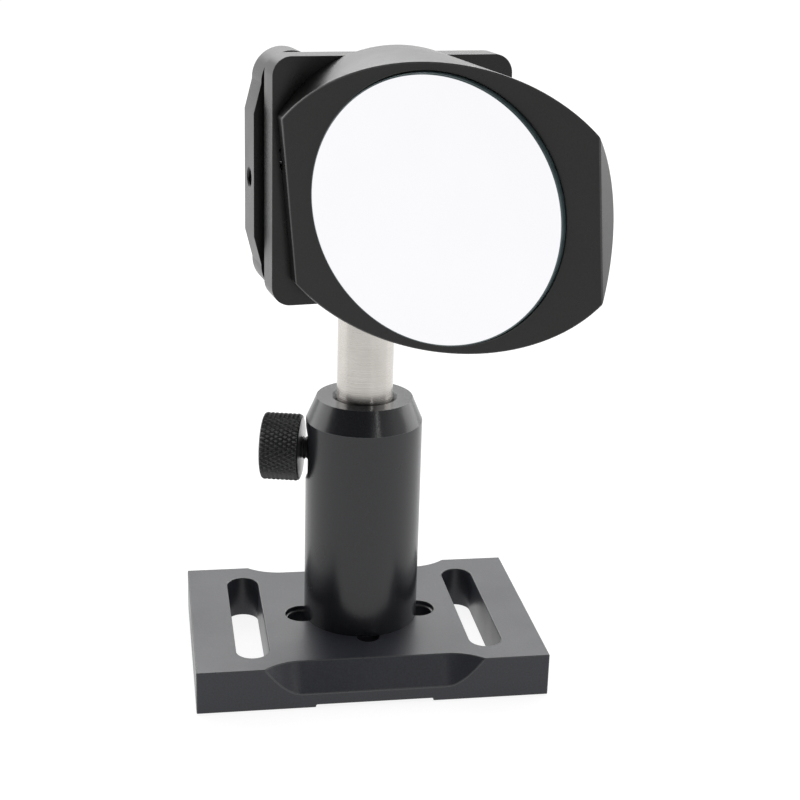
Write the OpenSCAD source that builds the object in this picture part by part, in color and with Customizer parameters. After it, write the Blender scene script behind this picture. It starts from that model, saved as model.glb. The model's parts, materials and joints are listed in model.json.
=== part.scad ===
// Kinematic mirror mount: slotted base, post holder, post and an L-frame tilt mount
// that carries a round mirror in a 45 degree wedge block. Millimetres, +Z up.
// The origin is the centre of the base's underside, on the post's axis.

/* [Base] */
// Length of the base along X
base_l = 75; // [70:1:100]
// Width of the base along Y
base_w = 50; // [44:1:62]
// Thickness of the base
base_t = 9.5; // [8.5:0.5:13]
// Distance between the centre lines of the two table slots
slot_spacing = 50.4; // [46:0.2:58]
// Width of a table slot
slot_w = 7; // [5:0.1:8]
// End-to-end length of a table slot
slot_l = 39; // [24:1:40]
// Distance between the axes of an edge scoop's two conical ends
scoop_run = 30.6; // [20:0.2:36]
// Height that a scoop takes from the edge, below the top face
scoop_drop = 6.2; // [3:0.1:7]
// Depth that a scoop reaches in from the edge at the top face
scoop_in = 3.2; // [1:0.1:4.5]
// Radius of a scoop's conical ends at the top face
scoop_r = 11.85; // [8:0.05:14]
// Width of the relief channel along the underside
relief_w = 25; // [16:1:30]
// Depth of the relief channel
relief_d = 0.6; // [0.3:0.1:1]
// Distance between the two stepped side holes, along X
ear_spacing = 26; // [25:0.5:29]
// Diameter of a stepped hole at the top face
ear_d = 7.4; // [7:0.1:8]
// Diameter of a stepped hole below its step
ear_through_d = 6.4; // [5:0.1:6.6]
// Depth of the step
ear_step = 1; // [0.5:0.1:2]
// Distance between the two small plain holes, along Y
mid_spacing = 24.6; // [24:0.2:28]
// Diameter of a small plain hole
mid_d = 5; // [3:0.1:5.4]

/* [Base screw] */
// Diameter of the base screw's thread
base_screw_d = 6; // [5:0.5:6]
// Diameter of the base screw's head
base_head_d = 10; // [8.5:0.1:11]
// Height of the base screw's head
base_head_h = 5; // [3:0.1:5.4]
// Length of the base screw below its head
base_screw_l = 9; // [7:0.5:10]

/* [Post holder] */
// Outside diameter of the holder
holder_d = 25; // [22:0.5:30]
// Height of the holder above the base
holder_h = 51; // [45:1:62]
// Thickness of the solid foot under the holder's bore
holder_foot = 8; // [7.5:0.5:12]
// Radial size of the outer top chamfer
holder_cham_r = 2.2; // [0.5:0.1:3]
// Axial size of the outer top chamfer
holder_cham_h = 5.1; // [1:0.1:6]
// Diameter of the bore's mouth
mouth_d = 14; // [13:0.1:15]

/* [Thumbscrew] */
// Height of the thumbscrew's axis above the base's top face
thumb_h = 38.35; // [30:0.05:42]
// Direction in which the thumbscrew points, turned from +X about +Z
thumb_angle = 166; // [90:1:270]
// Diameter of the thumbscrew's thread
thumb_d = 5; // [4:0.5:6]
// Diameter of the knob
knob_d = 14.6; // [12:0.1:18]
// Length of the knob
knob_l = 8.4; // [6:0.1:12]
// Size of the knob's edge chamfers
knob_cham = 0.8; // [0.3:0.1:1.2]
// Gap between the clamped knob and the holder
knob_gap = 1; // [0.8:0.1:4]
// Diameter of the flat spot under the knob
spot_d = 13.2; // [10:0.1:16]
// Depth of the flat spot
spot_depth = 1; // [0.5:0.1:1.5]
// Thickness of the soft tip pad
tip_l = 1.5; // [1:0.1:2]

/* [Post] */
// Diameter of the post
post_d = 12; // [10:0.1:12.7]
// Length of the post
post_l = 50; // [46:1:56]
// Length of the post that stands out of the holder
post_out = 23.1; // [20:0.1:30]
// Size of the post's edge chamfers
post_cham = 0.5; // [0.2:0.1:1]
// Diameter of the stud that joins the post to the back plate
stud_d = 4; // [3:0.5:4.5]
// Length of the stud
stud_l = 16; // [12:0.5:18]
// Length of the stud that stands in the back plate
stud_in_plate = 8; // [5:0.5:9]

/* [Plates] */
// Turn of the whole head about the post, from facing -Y
head_turn = 8.85; // [-90:0.05:90]
// Width and height of the square front plate
plate_w = 48.5; // [46:0.5:58]
// Offset of the plates' centre from the post's axis, to the right and up
plate_shift = 0.7; // [0:0.1:2]
// Corner radius of the front plate
plate_r = 3.8; // [2:0.1:6]
// Thickness of the front plate
front_t = 6.5; // [6:0.1:8]
// Thickness of the back plate
back_t = 8; // [7.5:0.1:10]
// Gap between the two plates
plate_gap = 2.5; // [2.5:0.1:4]
// Width of an arm of the L-shaped back plate
arm_w = 12; // [11:0.1:14]
// Size of the inner corner's bevel on the back plate
inner_bevel = 7; // [2:0.5:9]
// Height of the flat boss on the left and bottom edges
boss_h = 1.5; // [0.5:0.1:3]
// Length of a boss's flat top
boss_flat = 24.4; // [16:0.2:26]
// Length of a boss at its foot
boss_foot = 36; // [28:0.5:38]
// Depth of the tapped hole in the side boss
side_hole_l = 8.5; // [4:0.5:9]

/* [Adjusters] */
// Diameter of an adjuster screw
adjuster_d = 6; // [5:0.1:6.5]
// Length of an adjuster screw behind its ball
adjuster_l = 13; // [11:0.5:18]
// Outside diameter of an adjuster's threaded bush
bush_d = 8.6; // [8:0.1:9.4]
// Diameter of the rear flange of a bush
bush_flange_d = 10.4; // [9.5:0.1:11]
// Thickness of the rear flange of a bush
bush_flange_t = 1.5; // [1:0.1:2.5]
// Size across the corners of the adjuster's hex socket
hex_d = 2.9; // [2:0.1:3.4]
// Depth of the adjuster's hex socket
hex_l = 3; // [2:0.1:4]
// Diameter of the pivot ball and the adjuster balls
ball_d = 5; // [4:0.1:5.4]
// Diameter of the pivot's pin in the back plate
pivot_pin_d = 6; // [5:0.1:7]
// Diameter of a hardened seat
seat_d = 8; // [7:0.1:9]
// Thickness of a hardened seat
seat_t = 4; // [3.6:0.1:4.5]

/* [Springs] */
// Offset of a spring from the pivot across its arm, outwards
spring_out = 2.4; // [1:0.1:2.8]
// Distance of the upright arm's spring above the pivot
spring_along = 22.15; // [20:0.05:26]
// Distance of the lower spring to the right of the post's axis, clear of its stud
spring_right = 7.8; // [7.4:0.1:9]
// Outside diameter of a spring's coils
spring_d = 3.8; // [3:0.1:4]
// Diameter of a spring's wire
wire_d = 0.5; // [0.4:0.05:0.6]
// Diameter of a spring's anchor pin
spring_pin_d = 1.4; // [1:0.1:1.6]
// Length of a spring's anchor pin
spring_pin_l = 7; // [6:0.1:8]
// Depth of an anchor pin's axis below the plate's face
spring_pin_depth = 1.7; // [1.6:0.05:2.2]
// Tilt of the anchor pins from their arm
spring_pin_tilt = 27; // [0:1:45]

/* [Mirror block] */
// Radius of the block's round body
block_r = 27.2; // [26.5:0.1:31]
// Angle between the mirror and the front plate
wedge = 45; // [35:1:50]
// Distance from the front plate to the mirror's face plane, on the block's axis
block_d = 25.3; // [24:0.1:34]
// Distance of the block's axis below the plates' centre
axis_drop = 0.95; // [0:0.05:2]
// Distance from the block's axis to the left flat
left_flat = 21.9; // [19.5:0.1:23]
// Distance from the mirror's centre to the right flat, along the mirror's face
right_flat = 32.15; // [28:0.1:36]
// Roll of the block about its axis, left side down
block_roll = 5.2; // [-10:0.1:10]
// Diameter of the block screw's thread
block_screw_d = 5; // [4:0.5:5]
// Diameter of the block screw's head
block_head_d = 8.5; // [7:0.1:9]
// Height of the block screw's head
block_head_h = 3.3; // [2.5:0.1:3.5]
// Length of the block screw below its head
block_screw_l = 12; // [8:0.5:14]

/* [Mirror] */
// Diameter of the mirror
mirror_d = 50.8; // [40:0.1:51]
// Thickness of the mirror
mirror_t = 8; // [5:0.1:8.4]
// Height that the mirror stands out of the block's face
mirror_proud = 1.15; // [0:0.05:2]
// Size of the mirror's edge bevel
mirror_bevel = 0.3; // [0.1:0.1:0.8]

/* [Hidden] */
$fn = 64;

// Radial clearance of everything that turns, slides or screws in a bore
fit_gap = 0.05;
// Clearance between faces that meet but may move
seat_gap = 0.02;
// Overrun of a cut past the face it leaves through
over = 1;

holder_top = base_t + holder_h;
post_bore_d = post_d + 2 * fit_gap;
thumb_z = base_t + thumb_h;
knob_x = holder_d / 2 + knob_gap;
stud_seat = 6;
tip_peg_d = 2;
tip_peg_l = 2;
tip_x = post_d / 2 + 2 * fit_gap;
thumb_x = tip_x + tip_l + fit_gap;
post_top = holder_top + post_out;
stud_hole_d = stud_d + 2 * fit_gap;
hole_spare = 1;

plate_z0 = post_top + seat_gap + boss_h;
centre_z = plate_z0 + plate_w / 2;
axis_x = plate_shift;
axis_z = centre_z - axis_drop;
adjust_off = (plate_w - arm_w) / 2;
back_front_y = -back_t / 2;
back_rear_y = back_t / 2;
front_rear_y = back_front_y - plate_gap;
front_face_y = front_rear_y - front_t;
ball_y = (back_front_y + front_rear_y) / 2;
pivot_x = plate_shift - adjust_off;
pivot_z = centre_z - adjust_off;
lever = 2 * adjust_off;
cup_r = ball_d / 2 + fit_gap;
seat_rear_y = front_rear_y;
screw_front_y = back_front_y + fit_gap;
bush_rear_y = back_rear_y + bush_flange_t;
bush_counter = 0.8;

spring_hole_d = spring_d + 0.4;
pin_front_y = front_face_y + spring_pin_depth;
pin_back_y = back_rear_y - spring_pin_depth;
groove_w = spring_pin_d + 2 * fit_gap;
groove_l = spring_pin_l + 4 * fit_gap;
eye_r = spring_pin_d / 2 + fit_gap + wire_d / 2;

pocket_depth = mirror_t - mirror_proud;
pocket_d = mirror_d + 4 * fit_gap;
block_l = block_d + right_flat;
head_floor_y = front_rear_y - block_head_h;

// Turns its children from straight ahead to the head's own direction
module head() {
    rotate([0, 0, head_turn]) children();
}

// A cylinder from y0 to y1 along Y at (x, z)
module along_y(x, z, y0, y1, d) {
    translate([x, y1, z]) rotate([90, 0, 0]) cylinder(h = y1 - y0, d = d);
}

// A slot with round ends, along Y, through a thickness
module slot(w, l, h) {
    translate([0, l / 2 - w / 2, 0]) cylinder(h = h, d = w);
    translate([0, w / 2 - l / 2, 0]) cylinder(h = h, d = w);
    translate([-w / 2, w / 2 - l / 2, 0]) cube([w, l - w, h]);
}

// The sloped hollow in a long edge of the base, opening at y = 0 towards -Y
module scoop() {
    lean = scoop_in / scoop_drop;
    drop = scoop_drop + over / lean;
    translate([-scoop_run / 2, 0, 0]) rotate([90, 0, 90]) linear_extrude(scoop_run)
        polygon([[scoop_in + over * lean, over], [-over, -drop], [-over, over]]);
    for (side = [-1, 1]) translate([side * scoop_run / 2, scoop_in - scoop_r, -drop])
        cylinder(h = drop + over, r1 = scoop_r - scoop_in - over, r2 = scoop_r + over * lean);
}

module base_plate() {
    color([0.16, 0.16, 0.17]) difference() {
        translate([-base_l / 2, -base_w / 2, 0]) cube([base_l, base_w, base_t]);
        for (side = [-1, 1]) {
            translate([side * slot_spacing / 2, 0, -over]) slot(slot_w, slot_l, base_t + 2 * over);
            translate([side * ear_spacing / 2, 0, base_t - ear_step])
                cylinder(h = ear_step + over, d = ear_d);
            translate([side * ear_spacing / 2, 0, -over])
                cylinder(h = base_t + 2 * over, d = ear_through_d);
            translate([0, side * mid_spacing / 2, -over])
                cylinder(h = base_t + 2 * over, d = mid_d);
        }
        for (turn = [0, 180]) rotate([0, 0, turn]) translate([0, -base_w / 2, base_t]) scoop();
        translate([-relief_w / 2, -base_w / 2 - over, -over])
            cube([relief_w, base_w + 2 * over, relief_d + over]);
        translate([0, 0, -over])
            cylinder(h = base_t + 2 * over, d = base_screw_d + 2 * fit_gap);
        translate([0, 0, -over])
            cylinder(h = over + relief_d + base_head_h + fit_gap, d = base_head_d + 4 * fit_gap);
    }
}

module base_screw() {
    color([0.2, 0.2, 0.21]) translate([0, 0, relief_d + fit_gap]) difference() {
        union() {
            cylinder(h = base_head_h, d = base_head_d);
            cylinder(h = base_head_h + base_screw_l, d = base_screw_d);
        }
        translate([0, 0, -over]) cylinder(h = hex_l + over, d = base_screw_d - 1, $fn = 6);
    }
}

// The profile of the holder's wall, turned about the post's axis
module holder_profile() {
    mouth = (mouth_d - post_bore_d) / 2;
    screw_r = base_screw_d / 2 + fit_gap;
    polygon([[screw_r, 0], [holder_d / 2, 0], [holder_d / 2, holder_h - holder_cham_h],
        [holder_d / 2 - holder_cham_r, holder_h], [mouth_d / 2, holder_h],
        [post_bore_d / 2, holder_h - mouth], [post_bore_d / 2, holder_foot], [screw_r, holder_foot]]);
}

module thumb_frame() {
    translate([0, 0, thumb_z]) rotate([0, 0, thumb_angle]) children();
}

// A cylinder along the thumbscrew's axis, from x0 to x1
module thumb_rod(x0, x1, d) {
    translate([x0, 0, 0]) rotate([0, 90, 0]) cylinder(h = x1 - x0, d = d);
}

module post_holder() {
    color([0.14, 0.14, 0.15]) difference() {
        translate([0, 0, base_t]) rotate_extrude() holder_profile();
        thumb_frame() {
            thumb_rod(0, holder_d, thumb_d + 2 * fit_gap);
            thumb_rod(holder_d / 2 - spot_depth, holder_d, spot_d);
        }
    }
}

module thumb_knob() {
    c = knob_cham;
    color([0.1, 0.1, 0.1]) thumb_frame() translate([knob_x, 0, 0]) rotate([0, 90, 0])
        difference() {
            rotate_extrude() polygon([[0, 0], [knob_d / 2 - c, 0], [knob_d / 2, c],
                [knob_d / 2, knob_l - c], [knob_d / 2 - c, knob_l], [0, knob_l]]);
            translate([0, 0, -over]) cylinder(h = stud_seat + over, d = thumb_d + 2 * fit_gap);
        }
}

module thumb_stud() {
    color([0.12, 0.12, 0.12]) thumb_frame() difference() {
        thumb_rod(thumb_x, knob_x + stud_seat - fit_gap, thumb_d);
        thumb_rod(thumb_x - over, thumb_x + tip_peg_l + fit_gap, tip_peg_d + 2 * fit_gap);
    }
}

module thumb_tip() {
    color([0.85, 0.85, 0.8]) thumb_frame() {
        thumb_rod(tip_x, tip_x + tip_l, thumb_d - 1);
        thumb_rod(tip_x, thumb_x + tip_peg_l, tip_peg_d);
    }
}

module post() {
    c = post_cham;
    r = post_d / 2;
    color([0.75, 0.75, 0.76]) translate([0, 0, post_top - post_l]) difference() {
        rotate_extrude() polygon([[0, 0], [r - c, 0], [r, c], [r, post_l - c],
            [r - c, post_l], [0, post_l]]);
        translate([0, 0, post_l - (stud_l - stud_in_plate) - hole_spare])
            cylinder(h = stud_l, d = stud_hole_d);
    }
}

module post_stud() {
    color([0.55, 0.55, 0.56])
        translate([0, 0, post_top + stud_in_plate - stud_l]) cylinder(h = stud_l, d = stud_d);
}

// A boss's outline on an arm's outer edge, from its foot at y = 0 to its flat at y = -boss_h
module boss_outline() {
    polygon([[-boss_foot / 2, 0], [-boss_flat / 2, -boss_h], [boss_flat / 2, -boss_h],
        [boss_foot / 2, 0], [boss_foot / 2, arm_w / 2], [-boss_foot / 2, arm_w / 2]]);
}

// The L outline of the back plate about its pivot corner, in X and Z
module back_outline() {
    r = arm_w / 2;
    for (p = [[0, 0], [lever, 0], [0, lever]]) translate(p) circle(r = r);
    translate([-r, 0]) square([arm_w, lever]);
    translate([0, -r]) square([lever, arm_w]);
    polygon([[r, r], [r + inner_bevel, r], [r, r + inner_bevel]]);
    translate([lever / 2, -r]) boss_outline();
    translate([-r, lever / 2]) rotate(-90) boss_outline();
}

// The tapped hole in each boss, at the height of the optical axis or under the post's axis
module side_hole() {
    edge_x = plate_shift - plate_w / 2 - boss_h;
    translate([edge_x - over, 0, axis_z]) rotate([0, 90, 0])
        cylinder(h = side_hole_l + over, d = stud_hole_d);
}

// The cross groove of a spring's anchor pin, from its axis out past a face
module groove(y_pin, y_out) {
    low = min(y_pin - groove_w / 2, y_out);
    high = max(y_pin + groove_w / 2, y_out);
    translate([-groove_w / 2, low, -groove_l / 2]) cube([groove_w, high - low, groove_l]);
}

// Places children at the two springs, with Z along the anchor pin
module at_spring(which) {
    upright = which == 0;
    x = upright ? pivot_x - spring_out : spring_right;
    z = upright ? pivot_z + spring_along : pivot_z - spring_out;
    turn = upright ? -spring_pin_tilt : spring_pin_tilt - 90;
    translate([x, 0, z]) rotate([0, turn, 0]) children();
}

module back_plate() {
    color([0.17, 0.17, 0.18]) head() difference() {
        translate([pivot_x, back_rear_y, pivot_z]) rotate([90, 0, 0])
            linear_extrude(back_t) back_outline();
        for (p = [[0, lever], [lever, 0]]) {
            along_y(pivot_x + p[0], pivot_z + p[1], back_front_y - over, back_rear_y + over,
                bush_d + 2 * fit_gap);
        }
        along_y(pivot_x, pivot_z, back_front_y - over, back_rear_y - bush_counter,
            pivot_pin_d + 2 * fit_gap);
        for (which = [0, 1]) at_spring(which) {
            along_y(0, 0, back_front_y - over, back_rear_y + over, spring_hole_d);
            groove(pin_back_y, back_rear_y + over);
        }
        translate([0, 0, post_top]) cylinder(h = stud_in_plate + hole_spare, d = stud_hole_d);
        side_hole();
    }
}

// A flanged threaded bush with its adjuster's bore, on the axis of (x, z)
module bushing(x, z) {
    color([0.72, 0.6, 0.34]) head() difference() {
        union() {
            along_y(x, z, back_front_y, bush_rear_y, bush_d);
            along_y(x, z, back_rear_y + seat_gap, bush_rear_y, bush_flange_d);
        }
        along_y(x, z, back_front_y - over, bush_rear_y + over, adjuster_d + 2 * fit_gap);
    }
}

// A fine adjuster screw with a ball cup in front and a hex socket behind
module adjuster(x, z) {
    rear = screw_front_y + adjuster_l;
    color([0.6, 0.6, 0.62]) head() difference() {
        along_y(x, z, screw_front_y, rear, adjuster_d);
        translate([x, ball_y, z]) sphere(r = cup_r);
        translate([x, rear + over, z]) rotate([90, 0, 0])
            cylinder(h = hex_l + over, d = hex_d, $fn = 6);
    }
}

module contact_ball(x, z) {
    color([0.8, 0.8, 0.82]) head() translate([x, ball_y, z]) sphere(d = ball_d);
}

module pivot_pin() {
    color([0.6, 0.6, 0.62]) head() difference() {
        along_y(pivot_x, pivot_z, screw_front_y, back_rear_y - bush_counter - fit_gap, pivot_pin_d);
        translate([pivot_x, ball_y, pivot_z]) sphere(r = cup_r);
    }
}

// A hardened disc let into the rear of the front plate
module seat_disc(x, z) {
    along_y(x, z, seat_rear_y - seat_t, seat_rear_y, seat_d);
}

module cone_seat() {
    reach = cup_r / sin(45);
    depth = reach - (ball_y - seat_rear_y);
    color([0.66, 0.66, 0.68]) head() difference() {
        seat_disc(pivot_x, pivot_z);
        translate([pivot_x, seat_rear_y - depth, pivot_z]) rotate([-90, 0, 0])
            cylinder(h = depth + over, r1 = 0, r2 = depth + over);
    }
}

module vee_seat() {
    reach = cup_r / sin(45);
    x = pivot_x + lever;
    color([0.66, 0.66, 0.68]) head() difference() {
        seat_disc(x, pivot_z);
        translate([x - seat_d, ball_y - reach, pivot_z]) rotate([-45, 0, 0])
            cube([2 * seat_d, seat_d, seat_d]);
    }
}

module flat_seat() {
    z = pivot_z + lever;
    color([0.66, 0.66, 0.68]) head() difference() {
        seat_disc(pivot_x, z);
        along_y(pivot_x, z, ball_y - cup_r, seat_rear_y + over, seat_d - 1.6);
    }
}

// An extension spring as a tube of its coils, with an eye round each anchor pin
module spring(which) {
    color([0.7, 0.7, 0.7]) head() at_spring(which) {
        difference() {
            along_y(0, 0, pin_front_y + eye_r, pin_back_y - eye_r, spring_d);
            along_y(0, 0, pin_front_y, pin_back_y, spring_d - 2 * wire_d);
        }
        for (y = [pin_front_y, pin_back_y]) translate([0, y, 0])
            rotate_extrude() translate([eye_r, 0]) circle(d = wire_d);
        for (y = [pin_front_y + eye_r, pin_back_y - eye_r - wire_d])
            along_y(0, 0, y, y + wire_d, spring_d);
    }
}

module spring_pins_back() {
    color([0.85, 0.85, 0.86]) head() for (which = [0, 1]) at_spring(which)
        translate([0, pin_back_y, -spring_pin_l / 2]) cylinder(h = spring_pin_l, d = spring_pin_d);
}

module spring_pins_front() {
    color([0.85, 0.85, 0.86]) head() for (which = [0, 1]) at_spring(which)
        translate([0, pin_front_y, -spring_pin_l / 2]) cylinder(h = spring_pin_l, d = spring_pin_d);
}

// A square with round corners, about its centre
module rounded_square(w, r) {
    square([w, w - 2 * r], center = true);
    square([w - 2 * r, w], center = true);
    for (x = [-1, 1], y = [-1, 1]) translate([x * (w / 2 - r), y * (w / 2 - r)]) circle(r = r);
}

module front_plate() {
    color([0.17, 0.17, 0.18]) head() difference() {
        translate([plate_shift, front_rear_y, centre_z]) rotate([90, 0, 0])
            linear_extrude(front_t) rounded_square(plate_w, plate_r);
        for (p = [[0, 0], [0, lever], [lever, 0]])
            along_y(pivot_x + p[0], pivot_z + p[1], seat_rear_y - seat_t - fit_gap,
                seat_rear_y + over, seat_d + 2 * fit_gap);
        for (which = [0, 1]) at_spring(which) {
            along_y(0, 0, front_face_y - over, front_rear_y + over, spring_hole_d);
            groove(pin_front_y, front_face_y - over);
        }
        along_y(axis_x, axis_z, front_face_y - over, front_rear_y + over,
            block_screw_d + 2 * fit_gap);
        along_y(axis_x, axis_z, head_floor_y, front_rear_y + over, block_head_d + 4 * fit_gap);
    }
}

// The block's own frame: origin on its axis at the front plate, Y along the axis
module block_frame() {
    head() translate([axis_x, front_face_y, axis_z]) rotate([0, -block_roll, 0]) children();
}

// The mirror's frame: origin at the face's centre, Y into the block
module face_frame() {
    block_frame() translate([0, -block_d, 0]) rotate([0, 0, -wedge]) children();
}

module mirror_block() {
    big = 4 * block_l;
    color([0.13, 0.13, 0.13]) difference() {
        block_frame() rotate([90, 0, 0]) cylinder(h = block_l, r = block_r, $fn = 128);
        block_frame() translate([-left_flat - big, -big / 2, -big / 2]) cube(big);
        face_frame() translate([-big / 2, -big, -big / 2]) cube(big);
        face_frame() translate([right_flat, -big / 2, -big / 2]) cube(big);
        face_frame() along_y(0, 0, -over, pocket_depth, pocket_d, $fn = 128);
        block_frame() along_y(0, 0, -block_screw_l - hole_spare, over,
            block_screw_d + 2 * fit_gap);
    }
}

module block_screw() {
    color([0.2, 0.2, 0.21]) head() difference() {
        union() {
            along_y(axis_x, axis_z, head_floor_y + fit_gap, front_rear_y, block_head_d);
            along_y(axis_x, axis_z, head_floor_y - block_screw_l, front_rear_y, block_screw_d);
        }
        translate([axis_x, front_rear_y + over, axis_z]) rotate([90, 0, 0])
            cylinder(h = 2 + over, d = block_screw_d - 0.4, $fn = 6);
    }
}

module mirror_disc() {
    r = mirror_d / 2;
    b = mirror_bevel;
    color([0.9, 0.9, 0.92]) face_frame() translate([0, pocket_depth - fit_gap, 0])
        rotate([90, 0, 0]) rotate_extrude($fn = 128)
            polygon([[0, 0], [r - b, 0], [r, b], [r, mirror_t - b], [r - b, mirror_t],
                [0, mirror_t]]);
}

base_plate();
base_screw();
post_holder();
thumb_knob();
thumb_stud();
thumb_tip();
post();
post_stud();
back_plate();
bushing(pivot_x, pivot_z + lever);  // bushing_top
bushing(pivot_x + lever, pivot_z);  // bushing_side
adjuster(pivot_x, pivot_z + lever);  // adjuster_top
adjuster(pivot_x + lever, pivot_z);  // adjuster_side
contact_ball(pivot_x, pivot_z + lever);  // ball_top
contact_ball(pivot_x + lever, pivot_z);  // ball_side
pivot_pin();
contact_ball(pivot_x, pivot_z);  // pivot_ball
front_plate();
cone_seat();
vee_seat();
flat_seat();
spring(0);  // spring_top
spring(1);  // spring_side
spring_pins_back();
spring_pins_front();
mirror_block();
block_screw();
mirror_disc();  // mirror
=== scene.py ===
import json
import math

import bmesh
import bpy
from mathutils import Matrix, Vector

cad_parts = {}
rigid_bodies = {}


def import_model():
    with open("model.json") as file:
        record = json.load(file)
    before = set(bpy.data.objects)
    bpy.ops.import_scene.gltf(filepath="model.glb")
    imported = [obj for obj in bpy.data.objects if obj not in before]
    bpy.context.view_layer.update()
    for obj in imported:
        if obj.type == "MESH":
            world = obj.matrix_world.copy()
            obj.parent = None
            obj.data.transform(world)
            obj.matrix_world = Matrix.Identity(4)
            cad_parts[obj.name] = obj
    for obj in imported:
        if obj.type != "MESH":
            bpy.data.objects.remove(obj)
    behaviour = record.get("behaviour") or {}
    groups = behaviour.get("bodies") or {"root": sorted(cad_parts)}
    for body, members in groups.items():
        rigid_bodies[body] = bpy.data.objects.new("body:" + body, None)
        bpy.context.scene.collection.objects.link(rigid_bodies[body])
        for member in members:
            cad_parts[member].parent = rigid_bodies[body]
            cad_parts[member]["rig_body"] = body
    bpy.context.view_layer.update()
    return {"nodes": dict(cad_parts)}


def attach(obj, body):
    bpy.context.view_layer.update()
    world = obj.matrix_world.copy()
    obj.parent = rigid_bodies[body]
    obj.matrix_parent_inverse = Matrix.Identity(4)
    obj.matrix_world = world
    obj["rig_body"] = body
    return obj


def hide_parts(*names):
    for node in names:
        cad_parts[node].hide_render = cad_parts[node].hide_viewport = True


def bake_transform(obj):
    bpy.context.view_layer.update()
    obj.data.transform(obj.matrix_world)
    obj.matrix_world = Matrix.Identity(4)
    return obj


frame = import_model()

MM = 0.001
NODES = frame["nodes"]
BODY_OF = {n: o["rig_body"] for n, o in NODES.items()}

# ---------------------------------------------------------------- camera

CAMERA_PLACE = Vector((-0.0465, -0.31458, 0.16873))
CAMERA_YAW = 0.1706
CAMERA_PITCH = 0.3304
CAMERA_ROLL = 0.0295
CAMERA_LENS = 70.66


def make_camera():
    data = bpy.data.cameras.new("studio_camera")
    data.lens = CAMERA_LENS
    data.sensor_width = 36
    data.clip_start = 0.01
    data.clip_end = 100
    cam = bpy.data.objects.new("studio_camera", data)
    bpy.context.scene.collection.objects.link(cam)
    ahead = Vector((math.sin(CAMERA_YAW) * math.cos(CAMERA_PITCH),
                    math.cos(CAMERA_YAW) * math.cos(CAMERA_PITCH), -math.sin(CAMERA_PITCH)))
    right = Vector((math.cos(CAMERA_YAW), -math.sin(CAMERA_YAW), 0))
    up = right.cross(ahead)
    c, s = math.cos(CAMERA_ROLL), math.sin(CAMERA_ROLL)
    x, y, z = c * right + s * up, c * up - s * right, -ahead
    cam.matrix_world = Matrix(((x[0], y[0], z[0], CAMERA_PLACE[0]), (x[1], y[1], z[1], CAMERA_PLACE[1]),
                               (x[2], y[2], z[2], CAMERA_PLACE[2]), (0, 0, 0, 1)))
    bpy.context.scene.camera = cam


make_camera()

# ---------------------------------------------------------------- studio

FLOOR_REACH = 60.0
FLOOR_DROP = 0.0002
FLOOR_GREY = (0.2, 0.2, 0.2, 1)
FLOOR_GLOW = 0.88
WORLD_NEAR, WORLD_FAR = 0.1, 1.06
WORLD_FADE = (-0.8, 0.2)
FAR_SIDE = (0.5, 0.866, 0)


def make_world():
    """A room that is dim on the camera's side and bright on the far side."""
    world = bpy.data.worlds.new("studio_world")
    bpy.context.scene.world = world
    world.use_nodes = True
    nt = world.node_tree
    nt.nodes.clear()
    coord = nt.nodes.new("ShaderNodeTexCoord")
    away = nt.nodes.new("ShaderNodeVectorMath")
    away.operation = "DOT_PRODUCT"
    away.inputs[1].default_value = FAR_SIDE
    ramp = nt.nodes.new("ShaderNodeMapRange")
    ramp.interpolation_type = "SMOOTHSTEP"
    back = nt.nodes.new("ShaderNodeBackground")
    out = nt.nodes.new("ShaderNodeOutputWorld")
    ramp.inputs["From Min"].default_value = WORLD_FADE[0]
    ramp.inputs["From Max"].default_value = WORLD_FADE[1]
    ramp.inputs["To Min"].default_value = WORLD_NEAR
    ramp.inputs["To Max"].default_value = WORLD_FAR
    back.inputs["Color"].default_value = (1.0, 1.0, 1.0, 1)
    nt.links.new(coord.outputs["Generated"], away.inputs[0])
    nt.links.new(away.outputs["Value"], ramp.inputs["Value"])
    nt.links.new(ramp.outputs["Result"], back.inputs["Strength"])
    nt.links.new(back.outputs["Background"], out.inputs["Surface"])


def softbox(name, place, aim, width, height, radiance):
    """A rectangular lamp that faces aim and isn't seen by the camera itself."""
    data = bpy.data.lights.new(name, "AREA")
    data.shape = "RECTANGLE"
    data.size = width
    data.size_y = height
    data.energy = radiance * math.pi * width * height
    lamp = bpy.data.objects.new(name, data)
    bpy.context.scene.collection.objects.link(lamp)
    lamp.visible_camera = False
    place, aim = Vector(place), Vector(aim)
    turn = (aim - place).to_track_quat("-Z", "Y").to_matrix().to_4x4()
    lamp.matrix_world = Matrix.Translation(place) @ turn


def make_floor():
    mesh = bpy.data.meshes.new("studio_floor")
    r = FLOOR_REACH
    mesh.from_pydata([(-r, -r, 0), (r, -r, 0), (r, r, 0), (-r, r, 0)], [], [(0, 1, 2, 3)])
    floor = bpy.data.objects.new("studio_floor", mesh)
    bpy.context.scene.collection.objects.link(floor)
    mat = bpy.data.materials.new("studio_paper")
    mat.use_nodes = True
    bsdf = mat.node_tree.nodes["Principled BSDF"]
    bsdf.inputs["Base Color"].default_value = FLOOR_GREY
    bsdf.inputs["Roughness"].default_value = 0.9
    bsdf.inputs["Specular IOR Level"].default_value = 0.0
    bsdf.inputs["Emission Color"].default_value = (1, 1, 1, 1)
    bsdf.inputs["Emission Strength"].default_value = FLOOR_GLOW
    mesh.materials.append(mat)
    floor.location = (0, 0, -FLOOR_DROP)


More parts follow.
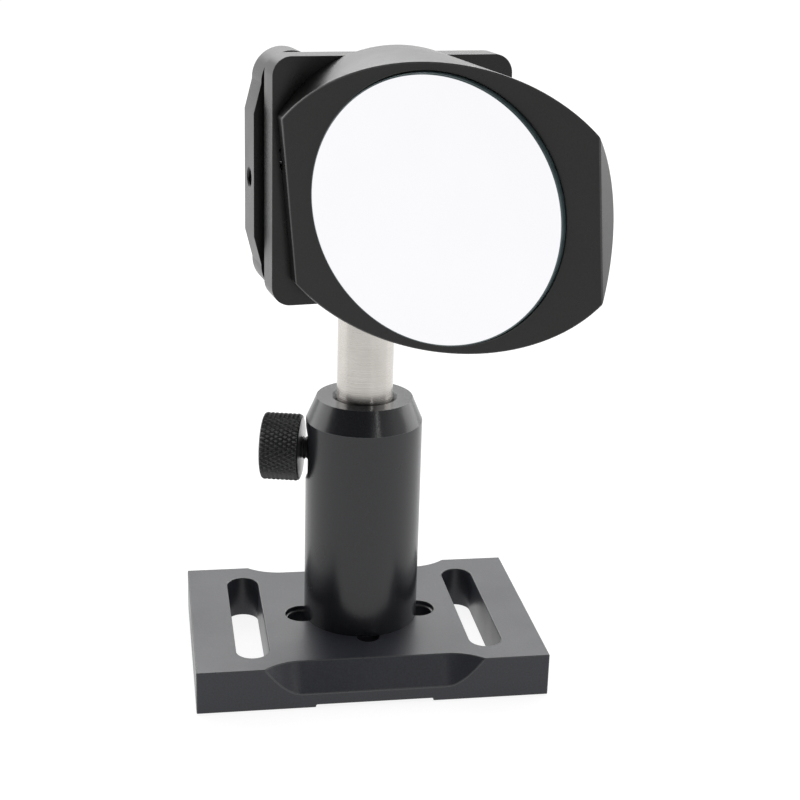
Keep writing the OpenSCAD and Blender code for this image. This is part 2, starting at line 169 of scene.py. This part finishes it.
make_world()
make_floor()
CENTRE = (0, 0, 0.08)
softbox("light_top", (0.05, 0.75, 0.7), CENTRE, 1.2, 0.6, 3.0)
softbox("light_left", (-0.85, 0.35, 0.3), CENTRE, 0.8, 0.55, 2.0)
softbox("light_right", (0.85, 0.3, 0.3), CENTRE, 0.8, 0.55, 2.2)
softbox("light_strip", (0.28, -0.75, 0.42), CENTRE, 0.035, 0.6, 8.0)
bpy.context.scene.view_settings.view_transform = "Standard"
bpy.context.scene.view_settings.look = "None"

# ---------------------------------------------------------------- materials

HEAD_TURN = math.radians(8.85)
BLOCK_ROLL = math.radians(5.2)
WEDGE = math.radians(45)


class Finish:
    """A material made of nodes, with a few shortcuts for building it."""

    def __init__(self, name, colour, roughness, metallic=0.0, **sockets):
        self.mat = bpy.data.materials.new(name)
        self.mat.use_nodes = True
        self.nt = self.mat.node_tree
        self.bsdf = self.nt.nodes["Principled BSDF"]
        self.colour = colour
        self.set("Base Color", (*colour, 1))
        self.set("Roughness", roughness)
        self.set("Metallic", metallic)
        for socket, value in sockets.items():
            self.set(socket.replace("_", " "), value)
        self.coord = self.nt.nodes.new("ShaderNodeTexCoord").outputs["Object"]
        self.height = None

    def set(self, socket, value):
        self.bsdf.inputs[socket].default_value = value

    def new(self, kind, links=None, **values):
        n = self.nt.nodes.new(kind)
        for key, value in values.items():
            if hasattr(n, key):
                setattr(n, key, value)
            else:
                n.inputs[key.replace("_", " ")].default_value = value
        for key, source in (links or {}).items():
            self.nt.links.new(source, n.inputs[key])
        return n

    def mapped(self, scale, rotation=(0, 0, 0)):
        """Object coordinates turned into a rotated frame, then scaled."""
        turned = self.new("ShaderNodeMapping", {"Vector": self.coord}, vector_type="TEXTURE", Rotation=rotation)
        return self.new("ShaderNodeMapping", {"Vector": turned.outputs[0]}, vector_type="POINT",
                        Scale=scale).outputs[0]

    def noise(self, vector, scale, detail=2.0, rough=0.5):
        return self.new("ShaderNodeTexNoise", {"Vector": vector}, Scale=scale, Detail=detail,
                        Roughness=rough).outputs["Fac"]

    def spread(self, fac, low, high):
        return self.new("ShaderNodeMapRange", {"Value": fac}, From_Min=0.3, From_Max=0.7,
                        To_Min=low, To_Max=high).outputs["Result"]

    def vary_colour(self, fac, other):
        mix = self.new("ShaderNodeMix", {"Factor": self.spread(fac, 0.0, 1.0)}, data_type="RGBA")
        mix.inputs[6].default_value = (*self.colour, 1)
        mix.inputs[7].default_value = (*other, 1)
        self.nt.links.new(mix.outputs[2], self.bsdf.inputs["Base Color"])

    def vary_roughness(self, fac, low, high):
        self.nt.links.new(self.spread(fac, low, high), self.bsdf.inputs["Roughness"])

    def bump(self, fac, distance, strength=1.0):
        links = {"Height": fac}
        if self.height is not None:
            links["Normal"] = self.height
        n = self.new("ShaderNodeBump", links, Strength=strength, Distance=distance)
        self.height = n.outputs["Normal"]
        self.nt.links.new(self.height, self.bsdf.inputs["Normal"])


def anodised(name, colour, roughness, specular, marks=None, grain=0.000012):
    """Satin black anodised aluminium: blasted grain, faint cloudy sheen, and optional cutter marks."""
    f = Finish(name, colour, roughness, Specular_IOR_Level=specular)
    cloud = f.noise(f.coord, 70, 3)
    speck = f.noise(f.coord, 2600, 3, 0.6)
    f.vary_colour(speck, tuple(min(1, c * 1.45 + 0.002) for c in colour))
    f.vary_roughness(cloud, roughness - 0.045, roughness + 0.045)
    f.bump(speck, grain, 0.8)
    if marks:
        f.bump(f.noise(f.mapped(**marks), 1.0, 2), grain * 0.8, 0.7)
    return f.mat


def turned_metal(name, colour, other, roughness, marks, aniso, depth=0.000006):
    """Bare turned metal: fine rings across its axis, with a little staining."""
    f = Finish(name, colour, roughness, metallic=1.0, Anisotropic=aniso)
    ring = f.noise(f.mapped(**marks), 1.0, 3, 0.65)
    cloud = f.noise(f.coord, 180, 3)
    f.vary_colour(cloud, other)
    f.vary_roughness(ring, roughness - 0.06, roughness + 0.09)
    f.bump(ring, depth, 0.8)
    return f.mat


ALONG_Z = dict(scale=(8, 8, 5200))
ALONG_HEAD = dict(scale=(8, 4200, 8), rotation=(0, 0, HEAD_TURN))
ACROSS_BASE = dict(scale=(3800, 12, 12))

M = {}
# The edge materials go on the bevel faces only: their lighter colour is a painted highlight along the broken
# edges.
M["base"] = anodised("black_anodised_base", (0.02, 0.021, 0.0265), 0.33, 0.4, ACROSS_BASE)
M["base_edge_painted_highlight"] = anodised("black_anodised_base_painted_highlight_edge", (0.03, 0.031, 0.034), 0.3, 0.6)
M["holder"] = anodised("black_anodised_holder", (0.008, 0.0085, 0.0105), 0.24, 0.5, ALONG_Z, 0.000006)
M["holder_edge_painted_highlight"] = anodised("black_anodised_holder_painted_highlight_edge", (0.05, 0.055, 0.06), 0.28, 0.7)
M["plate"] = anodised("black_anodised_plate", (0.0042, 0.0042, 0.004), 0.28, 0.34)
M["plate_edge_painted_highlight"] = anodised("black_anodised_plate_painted_highlight_edge", (0.02, 0.0195, 0.018), 0.28, 0.6)
M["block"] = anodised("black_anodised_block", (0.0042, 0.0042, 0.004), 0.29, 0.34, ALONG_HEAD, 0.000008)
M["block_edge_painted_highlight"] = anodised("black_anodised_block_painted_highlight_edge", (0.02, 0.02, 0.0195), 0.28, 0.6)
M["knurl"] = anodised("black_oxide_knurl", (0.014, 0.0143, 0.0145), 0.34, 0.6)
M["black_steel"] = anodised("black_oxide_steel", (0.018, 0.018, 0.019), 0.3, 0.55)
M["bare_face"] = turned_metal("bare_turned_face", (0.55, 0.55, 0.54), (0.42, 0.42, 0.41), 0.36,
                              dict(scale=(2500, 2500, 2500)), 0.0)
M["post"] = turned_metal("post_stainless", (0.56, 0.535, 0.505), (0.51, 0.485, 0.455), 0.24, ALONG_Z, 0.8,
                         0.0000006)
M["post"].node_tree.nodes["Principled BSDF"].inputs["Anisotropic Rotation"].default_value = 0.25
M["steel"] = turned_metal("small_steel", (0.66, 0.66, 0.665), (0.57, 0.57, 0.58), 0.25, ALONG_HEAD, 0.2)
M["hard"] = turned_metal("hardened_steel", (0.6, 0.6, 0.61), (0.52, 0.52, 0.53), 0.14,
                         dict(scale=(900, 900, 900)), 0.0, 0.000002)
M["spring"] = turned_metal("spring_wire", (0.5, 0.5, 0.5), (0.38, 0.38, 0.38), 0.25,
                           dict(scale=(1500, 1500, 1500)), 0.0)
M["brass"] = turned_metal("bush_brass", (0.62, 0.45, 0.2), (0.5, 0.35, 0.14), 0.26, ALONG_HEAD, 0.3)


def nylon():
    f = Finish("nylon_tip", (0.72, 0.7, 0.62), 0.5, Subsurface_Weight=0.15)
    f.vary_colour(f.noise(f.coord, 400, 3), (0.6, 0.57, 0.48))
    f.bump(f.noise(f.coord, 1800, 2), 0.00002, 0.6)
    return f.mat


def coating():
    f = Finish("mirror_coating", (0.86, 0.853, 0.88), 0.03, metallic=1.0)
    cloud = f.noise(f.coord, 45, 3)
    f.vary_colour(cloud, (0.872, 0.866, 0.885))
    f.vary_roughness(cloud, 0.02, 0.05)
    return f.mat


def glass_edge():
    f = Finish("ground_glass_edge", (0.045, 0.07, 0.075), 0.38, Specular_IOR_Level=0.5, Coat_Weight=0.3)
    f.vary_colour(f.noise(f.mapped(scale=(300, 300, 300)), 1.0, 4, 0.7), (0.08, 0.115, 0.12))
    f.bump(f.noise(f.coord, 3500, 2), 0.00002, 0.8)
    return f.mat


M["nylon"] = nylon()
M["coating"] = coating()
M["glass"] = glass_edge()

# ---------------------------------------------------------------- mesh tools


def add_object(name, mesh, body, mats, replaces=()):
    obj = bpy.data.objects.new(name, mesh)
    bpy.context.scene.collection.objects.link(obj)
    for m in mats:
        mesh.materials.append(M[m])
    if body:
        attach(obj, body)
    if replaces:
        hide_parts(*replaces)
    return obj


def smooth(mesh, degrees):
    mesh.polygons.foreach_set("use_smooth", [True] * len(mesh.polygons))
    mesh.set_sharp_from_angle(angle=math.radians(degrees))
    mesh.update()


def modified(mesh, kind, settings):
    """The mesh with one modifier applied."""
    scratch = bpy.data.objects.new("scratch", mesh)
    bpy.context.scene.collection.objects.link(scratch)
    mod = scratch.modifiers.new(kind.lower(), kind)
    for key, value in settings.items():
        setattr(mod, key, value)
    done = bpy.data.meshes.new_from_object(scratch.evaluated_get(bpy.context.evaluated_depsgraph_get()))
    bpy.data.objects.remove(scratch)
    return done


def node_box(node):
    """The low and high corners of a CAD node's mesh."""
    corners = [v.co for v in NODES[node].data.vertices]
    return [[pick(c[i] for c in corners) for i in range(3)] for pick in (min, max)]


def refined(node, mat, painted_highlight_edge_mat, width, angle=25.0):
    """A CAD node's own shape with its sharp edges broken, kept inside the node's box and standing for it. The
    bevel faces take the second material, which for the anodised parts is a lighter painted highlight along the
    edges.
    """
    bm = bmesh.new()
    bm.from_mesh(NODES[node].data)
    bmesh.ops.remove_doubles(bm, verts=bm.verts, dist=2e-6)
    bmesh.ops.dissolve_limit(bm, angle_limit=math.radians(0.4), verts=bm.verts, edges=bm.edges)
    mesh = bpy.data.meshes.new(node + "_finish")
    bm.to_mesh(mesh)
    bm.free()
    mesh.materials.clear()
    mesh.materials.append(M[mat])
    mesh.materials.append(M[painted_highlight_edge_mat or mat])
    mesh.polygons.foreach_set("material_index", [0] * len(mesh.polygons))
    mesh.polygons.foreach_set("use_smooth", [True] * len(mesh.polygons))
    # material=1 sends the bevel faces to the second slot, the painted edge highlight where one is given.
    bevel = dict(width=width * MM, segments=2, limit_method="ANGLE", angle_limit=math.radians(angle),
                 miter_outer="MITER_ARC", material=1)
    mesh = modified(mesh, "BEVEL", bevel)
    low, high = node_box(node)
    for v in mesh.vertices:
        v.co = [min(max(c, a), b) for c, a, b in zip(v.co, low, high)]
    bm = bmesh.new()
    bm.from_mesh(mesh)
    for e in bm.edges:
        if len(e.link_faces) == 2 and all(f.material_index == 0 for f in e.link_faces):
            e.smooth = e.calc_face_angle() < math.radians(12)
    bm.to_mesh(mesh)
    bm.free()
    mesh = modified(mesh, "WEIGHTED_NORMAL", dict(mode="FACE_AREA", weight=80, keep_sharp=True))
    mesh.name = node + "_finish"
    add_object(node + "_finish", mesh, BODY_OF[node], [], [node])


def grid_mesh(name, points, caps=True):
    """A surface through rings of points; caps close both ends."""
    rows, cols = len(points), len(points[0])
    verts = [tuple(p) for row in points for p in row]
    faces = []
    for i in range(rows - 1):
        for j in range(cols):
            k = (j + 1) % cols
            faces.append((i * cols + j, i * cols + k, (i + 1) * cols + k, (i + 1) * cols + j))
    if caps:
        faces.append(tuple(range(cols - 1, -1, -1)))
        faces.append(tuple((rows - 1) * cols + j for j in range(cols)))
    mesh = bpy.data.meshes.new(name)
    mesh.from_pydata(verts, [], faces)
    mesh.validate()
    return mesh


def outward(mesh):
    bm = bmesh.new()
    bm.from_mesh(mesh)
    bmesh.ops.recalc_face_normals(bm, faces=bm.faces)
    bm.to_mesh(mesh)
    bm.free()


def ring(r, z, steps):
    """Points of a circle about local Z. Millimetres in, metres out."""
    angles = [2 * math.pi * k / steps for k in range(steps)]
    return [(r * math.cos(a) * MM, r * math.sin(a) * MM, z * MM) for a in angles]


def rod_frame(start, direction):
    """Local Z along direction from start."""
    z = Vector(direction).normalized()
    x = z.orthogonal().normalized()
    y = z.cross(x)
    return Matrix(((x[0], y[0], z[0], start[0]), (x[1], y[1], z[1], start[1]),
                   (x[2], y[2], z[2], start[2]), (0, 0, 0, 1)))


def sink_hexagon(mesh, top, across, depth):
    """A hex socket in the mesh's flat top face. Millimetres."""
    bm = bmesh.new()
    bm.from_mesh(mesh)
    bm.faces.ensure_lookup_table()
    cap = max(bm.faces, key=lambda f: f.calc_center_median().z)
    loop = list(cap.verts)
    bmesh.ops.delete(bm, geom=[cap], context="FACES_ONLY")
    rim, low = [], []
    for v in loop:
        t = math.atan2(v.co.y, v.co.x)
        a = (t + math.pi / 6) % (math.pi / 3) - math.pi / 6
        r = across / 2 / math.cos(a)
        rim.append(bm.verts.new((r * math.cos(t) * MM, r * math.sin(t) * MM, top * MM)))
        low.append(bm.verts.new((r * math.cos(t) * MM, r * math.sin(t) * MM, (top - depth) * MM)))
    for j in range(len(loop)):
        k = (j + 1) % len(loop)
        bm.faces.new((loop[j], loop[k], rim[k], rim[j]))
        bm.faces.new((rim[j], rim[k], low[k], low[j]))
    bm.faces.new(low)
    bm.to_mesh(mesh)
    bm.free()


def threaded_rod(name, start, direction, length, major, pitch, depth, cham, body, mat,
                 socket=None, replaces=()):
    """A screw thread of real helical ridges with chamfered ends and an optional hex socket at its far end."""
    cols, per_turn = 48, 8
    n = max(2, int(round(length / pitch * per_turn)))
    rows = []
    for i in range(n + 1):
        z = length * i / n
        end = min(z, length - z)
        row = []
        for j in range(cols):
            t = 2 * math.pi * j / cols
            phase = (z / pitch - j / cols) % 1
            ridge = min(1.0, 2.4 * min(phase, 1 - phase))
            r = major - depth * (1 - ridge)
            r = min(r, major - cham + end) if end < cham else r
            row.append((r * math.cos(t) * MM, r * math.sin(t) * MM, z * MM))
        rows.append(row)
    mesh = grid_mesh(name, rows)
    if socket:
        sink_hexagon(mesh, length, *socket)
    mesh.transform(rod_frame(start, direction))
    outward(mesh)
    smooth(mesh, 40)
    add_object(name, mesh, body, [mat], replaces)


def tube(points, radius, sides=10):
    """Rings of a round wire that follows points, with frames carried along it."""
    pts = [Vector(p) for p in points]
    tangent = [(pts[min(i + 1, len(pts) - 1)] - pts[max(i - 1, 0)]).normalized() for i in range(len(pts))]
    normal = tangent[0].orthogonal().normalized()
    rows = []
    for p, t in zip(pts, tangent):
        normal = (normal - t * normal.dot(t)).normalized()
        side = t.cross(normal)
        rows.append([p + radius * (math.cos(a) * normal + math.sin(a) * side)
                     for a in (2 * math.pi * k / sides for k in range(sides))])
    return rows


def lathe(name, profile, steps, materials):
    """A closed solid turned about local Z. profile is (radius, z, material of the band that follows)."""
    verts, faces, index = [], [], []
    rings = []
    for r, z, _ in profile:
        if r == 0:
            rings.append([len(verts)])
            verts.append((0, 0, z * MM))
        else:
            rings.append(list(range(len(verts), len(verts) + steps)))
            verts += ring(r, z, steps)
    for i in range(len(rings) - 1):
        a, b = rings[i], rings[i + 1]
        for k in range(steps):
            n = (k + 1) % steps
            if len(a) == 1:
                f = (a[0], b[n], b[k])
            elif len(b) == 1:
                f = (a[k], a[n], b[0])
            else:
                f = (a[k], a[n], b[n], b[k])
            faces.append(f)
            index.append(profile[i][2])
    mesh = bpy.data.meshes.new(name)
    mesh.from_pydata(verts, [], faces)
    for m in materials:
        mesh.materials.append(M[m])
    mesh.polygons.foreach_set("material_index", index)
    return mesh


HEAD = Matrix.Rotation(HEAD_TURN, 4, "Z")


def head_point(x, y, z):
    return HEAD @ Vector((x * MM, y * MM, z * MM))


HEAD_BACK = HEAD @ Vector((0, 1, 0))

# ---------------------------------------------------------------- the body parts

refined("base_plate", "base", "base_edge_painted_highlight", 0.3)
refined("base_screw", "black_steel", None, 0.2)
refined("post_holder", "holder", "holder_edge_painted_highlight", 0.22, 15)
refined("post", "post", None, 0.1)
refined("back_plate", "plate", "plate_edge_painted_highlight", 0.3)
refined("front_plate", "plate", "plate_edge_painted_highlight", 0.3)
refined("mirror_block", "block", "block_edge_painted_highlight", 0.3)
refined("block_screw", "black_steel", None, 0.2)
refined("bushing_top", "brass", None, 0.2)
refined("bushing_side", "brass", None, 0.2)
refined("spring_pins_back", "steel", None, 0.2)
refined("spring_pins_front", "steel", None, 0.2)

HIDDEN = dict(hard=("ball_top", "ball_side", "pivot_ball", "pivot_pin", "cone_seat", "vee_seat", "flat_seat"),
              nylon=("thumb_tip",), steel=("post_stud",))
for finish, nodes in HIDDEN.items():
    for node in nodes:
        NODES[node].data.materials.clear()
        NODES[node].data.materials.append(M[finish])

# ---------------------------------------------------------------- thumbscrew
# Sizes and places from here on are in millimetres.

THUMB_ANGLE = math.radians(166)
THUMB_Z = 47.85
THUMB_DIR = Vector((math.cos(THUMB_ANGLE), math.sin(THUMB_ANGLE), 0))
KNOB_X, KNOB_L, KNOB_R = 13.5, 8.4, 7.3
STUD_X, STUD_L, STUD_R, STUD_PITCH = 7.65, 11.8, 2.5, 0.8


def thumb_point(x):
    return THUMB_DIR * (x * MM) + Vector((0, 0, THUMB_Z * MM))


def knurled_knob():
    """A knob with pyramids cut by two sets of helical grooves, chamfered ends and a bare inner face."""
    around, per = 44, 8
    pitch, depth, crest = 1.9, 0.42, 0.82
    cham, dish = 0.8, 0.35
    inner_r = 2.62
    cols = around * per
    steps = int(round(KNOB_L / pitch * per))
    rows = []
    rows.append([(inner_r, 0.0)] * cols)
    rows.append([(KNOB_R - cham - 0.25, 0.0)] * cols)
    for i in range(steps + 1):
        z = KNOB_L * i / steps
        row = []
        end = min(z, KNOB_L - z)
        limit = KNOB_R - cham + end
        if end < cham:
            limit = KNOB_R - cham + math.sqrt(max(0.0, cham ** 2 - (cham - end) ** 2))
        for j in range(cols):
            u = (j / per + z / pitch) % 1
            v = (j / per - z / pitch) % 1
            tri = min(1 - abs(2 * u - 1), 1 - abs(2 * v - 1))
            h = min(tri, crest) / crest
            row.append((min(limit, KNOB_R - depth * (1 - h)), z))
        rows.append(row)
    rows.append([(KNOB_R - cham - 0.35, KNOB_L)] * cols)
    rows.append([(KNOB_R - cham - 0.6, KNOB_L - dish)] * cols)
    rows.append([(0.4, KNOB_L - dish)] * cols)
    turn = 2 * math.pi / cols
    points = [[(r * math.cos(turn * j) * MM, r * math.sin(turn * j) * MM, z * MM)
               for j, (r, z) in enumerate(row)] for row in rows]
    mesh = grid_mesh("thumb_knob_finish", points)
    mesh.transform(rod_frame(thumb_point(KNOB_X), THUMB_DIR))
    outward(mesh)
    add_object("thumb_knob_finish", mesh, BODY_OF["thumb_knob"], ["knurl", "bare_face"],
               ["thumb_knob"])
    for p in mesh.polygons:
        outside = (p.center - thumb_point(KNOB_X)).dot(THUMB_DIR)
        if p.normal.dot(THUMB_DIR) < -0.95 and outside < 0.05 * MM:
            p.material_index = 1
    smooth(mesh, 24)


knurled_knob()
threaded_rod("thumb_stud_finish", thumb_point(STUD_X), THUMB_DIR, STUD_L, STUD_R, STUD_PITCH, 0.4, 0.4,
             BODY_OF["thumb_stud"], "black_steel", None, ["thumb_stud"])

# ---------------------------------------------------------------- head details

PIVOT_X, PIVOT_Z, LEVER = -17.55, 91.12, 36.5
AXIS_X, AXIS_Z = 0.7, 108.42
ADJ_START, ADJ_L, ADJ_R, ADJ_PITCH = -2.65, 11.7, 3.0, 0.45
ADJ_SOCKET = (2.5, 3.0)
PIN_FRONT, PIN_BACK = -11.3, 2.3
WIRE_R = 0.25

for node, x, z in (("adjuster_top", PIVOT_X, PIVOT_Z + LEVER), ("adjuster_side", PIVOT_X + LEVER, PIVOT_Z)):
    threaded_rod(node + "_finish", head_point(x, ADJ_START, z), HEAD_BACK, ADJ_L, ADJ_R, ADJ_PITCH, 0.2, 0.35,
                 BODY_OF[node], "steel", ADJ_SOCKET, [node])


def eased(start, end):
    """Four points that lead smoothly from start to end."""
    shares = [k / 5 for k in range(1, 5)]
    return [tuple(a + (b - a) * (s * s * (3 - 2 * s)) for a, b in zip(start, end)) for s in shares]


def spring_points(pin_front, pin_back):
    """The centreline of an extension spring along local Y: a hook, close coils, and a hook. Millimetres."""
    eye, coil_r, lead, coil_pitch = 1.0, 1.65, 0.35, 0.56
    per_turn, per_hook = 20, 14
    y0, y1 = pin_front + eye + lead, pin_back - eye - lead
    steps = int((y1 - y0) / coil_pitch) * per_turn
    open_angles = [math.radians(-60 + 300 * k / per_hook) for k in range(per_hook + 1)]
    front = [(eye * math.cos(a), pin_front - eye * math.sin(a), 0) for a in open_angles]
    back = [(eye * math.cos(a), pin_back + eye * math.sin(a), 0) for a in reversed(open_angles)]
    coils = []
    for k in range(steps + 1):
        a = math.pi + 2 * math.pi * k / per_turn
        coils.append((coil_r * math.cos(a), y0 + (y1 - y0) * k / steps, coil_r * math.sin(a)))
    return front + eased(front[-1], coils[0]) + coils + eased(coils[-1], back[0]) + back


def spring(node, x, z, turn):
    """A spring in two halves that meet in the gap between the plates; neither half is attached to a body."""
    pts = [(p[0] * MM, p[1] * MM, p[2] * MM) for p in spring_points(PIN_FRONT, PIN_BACK)]
    place = HEAD @ Matrix.Translation((x * MM, 0, z * MM)) @ Matrix.Rotation(math.radians(turn), 4, "Y")
    middle = len(pts) // 2
    halves = (("_rear_finish", pts[middle:], "back_frame", "pivot_ball", -0.5, -3.5, [node]),
              ("_front_finish", pts[:middle + 1], "pivot_ball", "mirror_frame", -5.5, -8.5, []))
    for ending, route, a, b, start, end, replaced in halves:
        mesh = grid_mesh(node + ending, tube(route, WIRE_R * MM))
        mesh.transform(place)
        outward(mesh)
        smooth(mesh, 60)
        obj = add_object(node + ending, mesh, None, ["spring"], replaced)
        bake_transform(obj)


spring("spring_top", -19.95, 113.27, -27)
spring("spring_side", 7.8, 88.72, 27 - 90)


def tapped_sleeve(name, mouth, direction, length, body):
    """The ridges of a tapped hole, as a thin sleeve that lines its wall."""
    cols, per_turn, pitch = 40, 8, 0.7
    wall, tip, lead_in = 2.06, 1.72, 0.35
    n = int(round(length / pitch * per_turn))
    rows = []
    for i in range(n + 1):
        z = length * i / n
        row = []
        for j in range(cols):
            t = 2 * math.pi * j / cols
            phase = (z / pitch - j / cols) % 1
            ridge = min(1.0, 2.4 * min(phase, 1 - phase))
            r = wall - (wall - tip) * ridge - 0.02
            if z < lead_in:
                r = max(r, wall - z * 0.97 - 0.02)
            row.append((r * math.cos(t) * MM, r * math.sin(t) * MM, z * MM))
        rows.append(row)
    outer = [ring(wall, z, cols) for z in (length, 0.05)]
    mesh = grid_mesh(name, rows + outer, caps=False)
    bm = bmesh.new()
    bm.from_mesh(mesh)
    bm.verts.ensure_lookup_table()
    last = (len(rows) + 1) * cols
    for j in range(cols):
        k = (j + 1) % cols
        bm.faces.new((bm.verts[last + j], bm.verts[last + k], bm.verts[k], bm.verts[j]))
    bm.to_mesh(mesh)
    bm.free()
    mesh.transform(rod_frame(mouth, direction))
    outward(mesh)
    smooth(mesh, 40)
    add_object(name, mesh, body, ["plate"])


tapped_sleeve("side_hole_thread", head_point(-25.03, 0, AXIS_Z), HEAD @ Vector((1, 0, 0)), 8.1, "back_frame")

# ---------------------------------------------------------------- mirror

BLOCK_D, POCKET = 25.3, 6.85
MIRROR_R, MIRROR_T, MIRROR_BEVEL = 25.4, 8.0, 0.3
PLATE_FACE_Y = -13
SEAT_GAP = 0.05
BLOCK_PLACE = Matrix.Translation((AXIS_X * MM, PLATE_FACE_Y * MM, AXIS_Z * MM))
BLOCK_FRAME = HEAD @ BLOCK_PLACE @ Matrix.Rotation(-BLOCK_ROLL, 4, "Y")
FACE_FRAME = BLOCK_FRAME @ Matrix.Translation((0, -BLOCK_D * MM, 0)) @ Matrix.Rotation(-WEDGE, 4, "Z")


def mirror():
    """The round mirror: a coated front, a bevel, a ground edge and a ground back."""
    r, b, t = MIRROR_R, MIRROR_BEVEL, MIRROR_T
    profile = [(0, 0, 1), (r - b, 0, 1), (r, b, 1), (r, t - b, 1), (r - b * 0.35, t - b * 0.25, 1),
               (r - b, t, 0), (r - 2.5, t, 0), (0, t, 0)]
    mesh = lathe("mirror_finish", profile, 192, ["coating", "glass"])
    seat = FACE_FRAME @ Matrix.Translation((0, (POCKET - SEAT_GAP) * MM, 0))
    mesh.transform(seat @ Matrix.Rotation(math.pi / 2, 4, "X"))
    outward(mesh)
    add_object("mirror_finish", mesh, BODY_OF["mirror"], [], ["mirror"])
    smooth(mesh, 20)


mirror()

# ---------------------------------------------------------------- end

bpy.context.view_layer.update()
